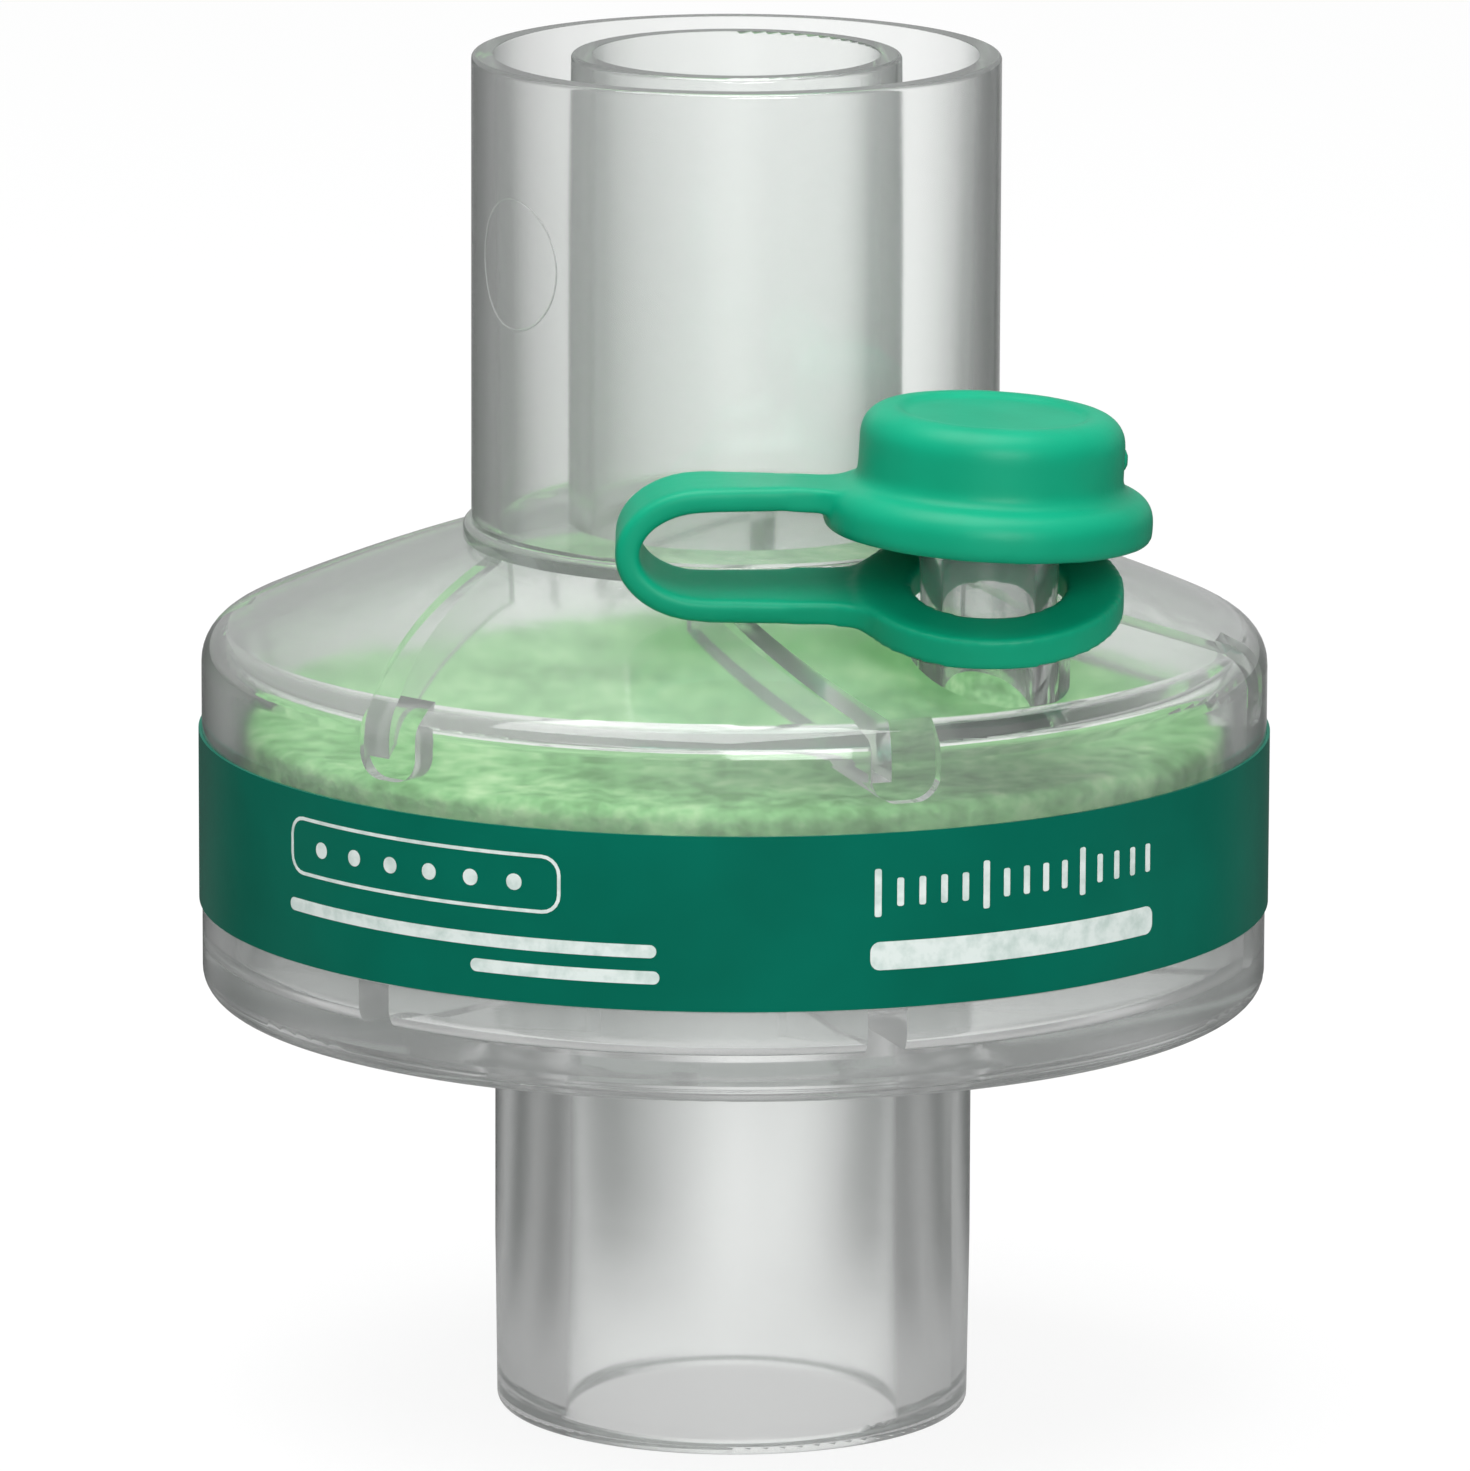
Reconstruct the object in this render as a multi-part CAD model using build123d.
from build123d import *
import math
import os

os.makedirs("parts", exist_ok=True)

# A breathing circuit filter: a clear housing welded from two mouldings, with a
# foam pad and a filter membrane inside, a printed band round the outside, and a
# soft cap on a looped strap over the sampling port. Millimetres, +Z up. It
# stands on the lower tube, and the origin is the centre of that tube's rim.

# Connector cones narrow by this much of their length, measured on the diameter
cone_taper = 1 / 40

# Lower connector: 22 mm male outside, 15 mm female inside
lower_tube_length = 19.8
lower_tip_r = 11.0
lower_cone_length = 8.0
socket_mouth_r = 7.75
socket_cone_length = 10.0
tube_rim_round = 0.45

# Housing drum
drum_r = 24.72
drum_wall = 1.5
drum_edge_round = 1.2
floor_thickness = 2.0
floor_corner_round = 1.0
floor_mouth_round = 1.0

# Floor ribs that carry the membrane
rib_count = 6
floor_rib_height = 2.2
floor_rib_width = 1.8
floor_rib_turn = -43.0
floor_rib_gap = 1.2

# Weld: a lip on the lower housing round a spigot on the upper one
lip_height = 4.2
lip_wall = 0.72
weld_clearance = 0.05

# What the housing holds
membrane_thickness = 1.0
foam_thickness = 8.3
foam_clearance = 0.22

# Dome: a shoulder, then one shallow crown up to the neck collar
plenum_wall_height = 2.07
shoulder_r = 1.9
dome_rise = 5.87
crown_r = 92.7
collar_r = 12.6
collar_height = 0.76
collar_round = 0.3

# Upper connector: 22 mm female outside, 15 mm male inside
upper_tube_length = 21.74
upper_tube_r = 12.21
upper_socket_mouth_r = 11.22
upper_tip_r = 7.62
upper_cone_length = 8.0
upper_bore_r = 6.65
upper_rim_round = 0.22

# Swirl vanes under the dome, each ending in a pad down the wall
vane_width = 1.3
vane_depth = 1.8
vane_start_turn = -68.0
vane_end_turn = -41.0
vane_bow = 1.0
pad_width = 3.2
pad_thickness = 1.1
pad_corner_round = 1.2

# Sampling port on the dome, turned from the front towards +X
port_turn = 35.0
port_bore_r = 2.1
port_neck_r = 3.1
port_r = 3.2
port_base_r = 3.7
port_base_height = 1.0
port_lug_r = 3.7
port_lug_height = 1.1
port_lug_width = 3.0
port_engagement = 4.2
flange_lift = 5.8

# Cap that covers the port: flange, body and a plug that enters the bore
flange_r = 7.45
flange_height = 2.2
flange_edge_round = 1.15
flange_foot_round = 0.4
cap_body_r = 6.0
cap_height = 5.7
cap_top_round = 1.3
cap_dish_r = 4.6
cap_dish_depth = 0.25
cap_root_round = 0.6
cap_roof = 0.9
cap_socket_r = 4.25
cap_plug_r = 1.85
cap_plug_gap = 0.6
cap_lean = 3.0
cap_tube_gap = 0.34

# Looped strap and the ring that holds it on the port
ring_lift = 2.9
ring_r = 6.1
ring_hole_r = 3.5
ring_thickness = 1.5
ring_tilt = 15.0
strap_width = 4.0
strap_thickness = 1.15
strap_edge_round = 0.35
strap_neck_round = 2.5
tab_length = 1.6
tab_height = 1.4
strap_reach = 16.3
strap_start = 9.0
strap_run_shares = (0.4, 0.7)

# Band printed and wrapped round the drum, covering the weld
band_thickness = 0.18
band_height = 8.03
band_bottom_gap = 0.2
band_seam_gap = 1.0
band_seam_turn = 150.0

# The cap's flange just clears the upper tube
port_centre_r = upper_tube_r + cap_tube_gap + flange_r

# Heights that follow from the stack, measured from the lower rim
floor_top = lower_tube_length + floor_thickness
membrane_bottom = floor_top + floor_rib_height
membrane_top = membrane_bottom + membrane_thickness
foam_top = membrane_top + foam_thickness
weld_top = membrane_bottom + lip_height
shoulder_z = foam_top + plenum_wall_height
neck_z = shoulder_z + dome_rise
collar_top = neck_z + collar_height
total_height = collar_top + upper_tube_length
drum_inner_r = drum_r - drum_wall
spigot_r = drum_r - lip_wall - weld_clearance
lower_land_r = lower_tip_r + lower_cone_length * cone_taper / 2
socket_land_r = socket_mouth_r - socket_cone_length * cone_taper / 2


def on_circle(radius, turn, height=0.0):
    """A point at this radius, turned from the front (-Y) towards +X."""
    angle = math.radians(turn)
    return Vector(radius * math.sin(angle), -radius * math.cos(angle), height)


def face_of(*lines):
    """A closed face in the radius and height plane."""
    return Plane.XZ * make_face(Curve() + list(lines))


def turned(*corners):
    """A solid of revolution about Z from corners of radius and height."""
    outline = Polyline(*corners, close=True)
    return revolve(face_of(outline), Axis.Z)


def rims(solid, radius, height):
    """The circular edges of this radius at this height."""
    found = [edge for edge in solid.edges().filter_by(GeomType.CIRCLE)
             if abs(edge.radius - radius) < 0.005 and abs(edge.arc_center.Z - height) < 0.005]
    return ShapeList(found)


def crown_centre():
    """Centre of the crown arc: it passes the neck and is tangent to the shoulder."""
    neck = Vector(collar_r, neck_z)
    shoulder = Vector(drum_r - shoulder_r, shoulder_z)
    across = shoulder - neck
    span = across.length
    from_neck = (crown_r ** 2 - (crown_r - shoulder_r) ** 2 + span ** 2) / (2 * span)
    drop = math.sqrt(crown_r ** 2 - from_neck ** 2)
    along = across.normalized()
    inward = Vector(along.Y, -along.X)
    return neck + along * from_neck + inward * drop


crown = crown_centre()


def dome_height(radius, depth):
    """Height of the dome at this radius, this far in from its outer face."""
    return crown.Y + math.sqrt((crown_r - depth) ** 2 - (radius - crown.X) ** 2)


def dome_lines(depth, inner_radius, foot_height):
    """Wall, shoulder and crown as lines from the foot up and in, at this depth."""
    centre = Vector(drum_r - shoulder_r, shoulder_z)
    outward = (centre - crown).normalized()
    bend = shoulder_r - depth
    wall_top = centre + Vector(bend, 0)
    join = centre + outward * bend
    half = math.atan2(outward.Y, outward.X) / 2
    bend_middle = centre + Vector(math.cos(half), math.sin(half)) * bend
    middle_r = (join.X + inner_radius) / 2
    wall = Line((wall_top.X, foot_height), (wall_top.X, wall_top.Y))
    shoulder = ThreePointArc((wall_top.X, wall_top.Y), (bend_middle.X, bend_middle.Y), (join.X, join.Y))
    top = ThreePointArc((join.X, join.Y), (middle_r, dome_height(middle_r, depth)),
                        (inner_radius, dome_height(inner_radius, depth)))
    return [wall, shoulder, top]


def make_lower_housing():
    """Lower tube, floor, wall and lip as one moulding."""
    body = turned(
        (socket_mouth_r, 0), (lower_tip_r, 0), (lower_land_r, lower_cone_length),
        (lower_land_r, lower_tube_length), (drum_r, lower_tube_length), (drum_r, weld_top),
        (drum_r - lip_wall, weld_top), (drum_r - lip_wall, membrane_bottom),
        (drum_inner_r, membrane_bottom), (drum_inner_r, floor_top), (socket_land_r, floor_top),
        (socket_land_r, socket_cone_length))
    body = fillet(rims(body, drum_r, lower_tube_length), drum_edge_round)
    body = fillet(rims(body, drum_inner_r, floor_top), floor_corner_round)
    body = fillet(rims(body, socket_land_r, floor_top), floor_mouth_round)
    body = fillet(rims(body, lower_tip_r, 0), tube_rim_round)
    body = fillet(rims(body, socket_mouth_r, 0), tube_rim_round)
    rib_start = socket_land_r + floor_mouth_round + floor_rib_gap
    rib_length = drum_inner_r + drum_wall / 2 - rib_start
    rib = Pos(0, -rib_start - rib_length / 2, floor_top - floor_thickness / 2) * Box(
        floor_rib_width, rib_length, floor_rib_height + floor_thickness / 2,
        align=(Align.CENTER, Align.CENTER, Align.MIN))
    for index in range(rib_count):
        body += Rot(0, 0, floor_rib_turn + index * 360 / rib_count) * rib
    return body


def vane_face():
    """Plan of one swirl vane, a gently bowed bar from the neck to the wall."""
    start = on_circle(collar_r - drum_wall, vane_start_turn)
    end = on_circle(drum_inner_r + drum_wall / 2, vane_end_turn)
    along = (end - start).normalized()
    middle = (start + end) / 2 + Vector(along.Y, -along.X) * vane_bow
    return trace(ThreePointArc(start, middle, end), line_width=vane_width)


def make_swirl_vanes():
    """All vanes with their pads, set into the dome and the wall by half its thickness."""
    seat = drum_wall / 2
    inner_r = collar_r - drum_wall
    outer_r = drum_inner_r + seat
    middle_r = (inner_r + outer_r) / 2

    def under_dome(depth):
        return ThreePointArc((inner_r, dome_height(inner_r, depth)),
                             (middle_r, dome_height(middle_r, depth)),
                             (outer_r, dome_height(outer_r, depth)))

    upper = under_dome(seat)
    lower = under_dome(drum_wall + vane_depth)
    zone = revolve(face_of(upper, lower, Line(upper @ 0, lower @ 0), Line(upper @ 1, lower @ 1)), Axis.Z)
    bar = Pos(0, 0, foam_top) * extrude(vane_face(), collar_top - foam_top)
    vane = zone & bar
    pad_height = shoulder_z - foam_top + shoulder_r / 2
    pad_face = RectangleRounded(pad_width, pad_height + 2 * pad_corner_round, pad_corner_round)
    pad_face = Pos(0, foam_top + pad_height / 2 + pad_corner_round) * pad_face
    pad = extrude(Plane.XZ * pad_face, drum_inner_r + seat)
    ring = turned((drum_inner_r - pad_thickness, foam_top), (drum_inner_r + seat, foam_top),
                  (drum_inner_r + seat, shoulder_z), (drum_inner_r - shoulder_r / 2, shoulder_z + shoulder_r / 2),
                  (drum_inner_r - pad_thickness, shoulder_z + shoulder_r / 2))
    pad = Rot(0, 0, vane_end_turn) * (pad & ring)
    return [Rot(0, 0, index * 360 / rib_count) * (vane + pad) for index in range(rib_count)]


port_at = on_circle(port_centre_r, port_turn)
port_base = dome_height(port_centre_r, 0)
ring_z = port_base + ring_lift
flange_face = port_base + flange_lift
port_top = flange_face + port_engagement


def make_port():
    """The sampling port's tube with its base and the two lugs at its top."""
    root_z = port_base - drum_wall
    tube = turned((0, root_z), (port_base_r, root_z), (port_base_r, port_base + port_base_height / 3),
                  (port_neck_r, port_base + port_base_height), (port_neck_r, ring_z),
                  (port_r, flange_face), (port_r, port_top), (0, port_top))
    lugs = Pos(0, 0, port_top - port_lug_height) * Cylinder(
        port_lug_r, port_lug_height, align=(Align.CENTER, Align.CENTER, Align.MIN))
    lugs &= Pos(0, 0, port_top) * Box(4 * port_lug_r, port_lug_width, 4 * port_lug_height)
    return Pos(port_at) * (tube + lugs)


def make_upper_housing():
    """Wall, dome, both upper tubes, swirl vanes and sampling port as one moulding."""
    outer = dome_lines(0, collar_r, weld_top)
    cone_rise = upper_cone_length * cone_taper / 2
    upper_land_r = upper_tip_r + cone_rise
    rest = Polyline(
        (collar_r, neck_z), (collar_r, collar_top), (upper_tube_r, collar_top),
        (upper_tube_r, total_height), (0, total_height), (0, membrane_top), (spigot_r, membrane_top),
        (spigot_r, weld_top), (drum_r, weld_top))
    body = revolve(face_of(*outer, rest), Axis.Z)
    body += make_port()
    cavity_r = upper_bore_r / 2
    cavity_edge = dome_lines(drum_wall, cavity_r, membrane_top)
    cavity = revolve(face_of(*cavity_edge, Polyline(
        cavity_edge[2] @ 1, (0, (cavity_edge[2] @ 1).Y), (0, membrane_top), cavity_edge[0] @ 0)), Axis.Z)
    body -= cavity
    socket_floor_r = upper_socket_mouth_r - (total_height - collar_top) * cone_taper / 2
    body -= turned(
        (upper_land_r, collar_top), (socket_floor_r, collar_top), (upper_socket_mouth_r, total_height),
        (upper_tip_r, total_height), (upper_land_r, total_height - upper_cone_length))
    body -= Pos(0, 0, total_height / 2) * Cylinder(upper_bore_r, total_height * 1.1)
    body -= Pos(port_at) * Pos(0, 0, foam_top) * Cylinder(
        port_bore_r, total_height, align=(Align.CENTER, Align.CENTER, Align.MIN))
    for vane in make_swirl_vanes():
        body += vane
    body = fillet(rims(body, upper_tube_r, total_height) + rims(body, upper_tip_r, total_height),
                  upper_rim_round)
    body = fillet(rims(body, collar_r, collar_top), collar_round)
    return body


def strap_plan(disc_r, reach):
    """Plan of a disc with a strap that leaves it towards -X through rounded necks."""
    plan = Circle(disc_r) + Pos(-reach / 2, 0) * Rectangle(reach, strap_width)
    necks = [corner for corner in plan.vertices()
             if corner.X < 0 and abs(math.hypot(corner.X, corner.Y) - disc_r) < 0.01]
    return fillet(necks, strap_neck_round)


def make_cap():
    """The cap in its own frame, with the flange's lower face at zero."""
    core = turned((0, 0), (flange_r, 0), (flange_r, flange_height), (cap_body_r, flange_height),
                  (cap_body_r, cap_height), (0, cap_height))
    core = fillet(rims(core, flange_r, flange_height), flange_edge_round)
    core = fillet(rims(core, flange_r, 0), flange_foot_round)
    core = fillet(rims(core, cap_body_r, flange_height), cap_root_round)
    core = fillet(rims(core, cap_body_r, cap_height), cap_top_round)
    core -= Pos(0, 0, cap_height) * Cone(
        cap_dish_r - 2 * cap_dish_depth, cap_dish_r, 2 * cap_dish_depth)
    tab = strap_plan(flange_r - flange_edge_round / 2, flange_r + tab_length)
    core += Pos(0, 0, tab_height - strap_thickness / 2) * extrude(tab, strap_thickness)
    socket_height = cap_height - cap_dish_depth - cap_roof
    core -= Pos(0, 0, socket_height / 2) * Cylinder(cap_socket_r, socket_height)
    plug_length = socket_height - cap_plug_gap + cap_roof / 2
    core += Pos(0, 0, cap_plug_gap + plug_length / 2) * Cylinder(cap_plug_r, plug_length)
    return core


def cap_frame():
    """Where the cap sits: on the port's axis, leaning about the middle of its hold."""
    pivot = port_at + Vector(0, 0, flange_face + port_engagement / 2)
    drop = Vector(0, 0, -port_engagement / 2)
    return Pos(pivot) * Rot(0, cap_lean, 0) * Pos(drop)


def strap_section(point, heading, tilt):
    """A rounded cross-section of the strap at this point, facing along its run."""
    across = Vector(0, math.cos(math.radians(tilt)), math.sin(math.radians(tilt)))
    across = (across - heading * across.dot(heading)).normalized()
    plane = Plane(origin=point, x_dir=across, z_dir=heading)
    return plane * RectangleRounded(strap_width, strap_thickness, strap_edge_round)


def make_tether():
    """Ring round the port and the strap that loops back to the cap."""
    plate = extrude(strap_plan(ring_r, strap_start), strap_thickness / 2, both=True)
    plate += extrude(Circle(ring_r), ring_thickness / 2, both=True)
    plate -= Cylinder(ring_hole_r, 4 * ring_thickness)
    seat = Pos(port_at) * Pos(0, 0, ring_z) * Rot(ring_tilt, 0, 0)
    plate = seat * plate
    tab_tip = cap_frame() * Pos(-flange_r - tab_length, 0, tab_height)
    top_point = tab_tip.position
    low_point = (seat * Pos(-strap_start, 0, 0)).position
    lean = math.radians(cap_lean)
    top_heading = Vector(math.cos(lean), 0, -math.sin(lean))
    far_x = port_at.X - strap_reach
    middle_z = (low_point.Z + top_point.Z) / 2
    bend = (top_point.Z - low_point.Z) / 2
    bend_start = far_x + 1.45 * bend
    bend_low = Vector(bend_start, port_at.Y, low_point.Z)
    bend_high = Vector(bend_start, port_at.Y, top_point.Z)
    sections = [strap_section(low_point, Vector(-1, 0, 0), ring_tilt)]
    for share in strap_run_shares:
        centre = low_point + (bend_low - low_point) * share
        sections.append(strap_section(centre, Vector(-1, 0, 0), ring_tilt * (1 - 0.15 * share)))
    steps = 8
    for step in range(steps + 1):
        angle = math.radians(-90 + 180 * step / steps)
        centre = Vector(bend_start - (bend_start - far_x) * math.cos(angle), port_at.Y,
                        middle_z + bend * math.sin(angle))
        heading = Vector((bend_start - far_x) * math.sin(angle), 0, bend * math.cos(angle)).normalized()
        share = 0.15 + 0.6 * step / steps
        sections.append(strap_section(centre, heading, ring_tilt * (1 - share)))
    for share in reversed(strap_run_shares):
        centre = top_point + (bend_high - top_point) * share
        sections.append(strap_section(centre, Vector(1, 0, 0), ring_tilt * 0.25 * share))
    sections.append(strap_section(top_point, top_heading, 0))
    # The bend is one smooth skin; the last of each run is straight, so that it can't bulge
    lower_run = loft(sections[:2], ruled=True)
    upper_run = loft(sections[-2:], ruled=True)
    return plate + lower_run + loft(sections[1:-1]) + upper_run


def make_band():
    """The printed band, open by a narrow seam at the back."""
    bottom = membrane_bottom + band_bottom_gap
    band = Pos(0, 0, bottom) * (
        extrude(Circle(drum_r + band_thickness), band_height) - extrude(Circle(drum_r), band_height))
    slot = Pos(on_circle(drum_r, band_seam_turn, bottom + band_height / 2))
    return band - slot * Rot(0, 0, band_seam_turn) * Box(band_seam_gap, drum_wall, 2 * band_height)


def disc(radius, bottom, thickness):
    """A flat round piece standing on this height."""
    return Pos(0, 0, bottom) * Cylinder(radius, thickness, align=(Align.CENTER, Align.CENTER, Align.MIN))


nodes = {
    "lower_housing": make_lower_housing(),
    "upper_housing": make_upper_housing(),
    "filter_membrane": disc(spigot_r, membrane_bottom, membrane_thickness),
    "foam_pad": disc(drum_inner_r - foam_clearance, membrane_top, foam_thickness),
    "label_band": make_band(),
    "luer_cap": cap_frame() * make_cap(),
    "cap_tether": make_tether(),
}

for name, shape in nodes.items():
    shape.label = name
    export_step(shape, f"parts/{name}.step")
    box = shape.bounding_box()
    print(name, len(shape.solids()), round(shape.volume, 1), box.min, box.max)
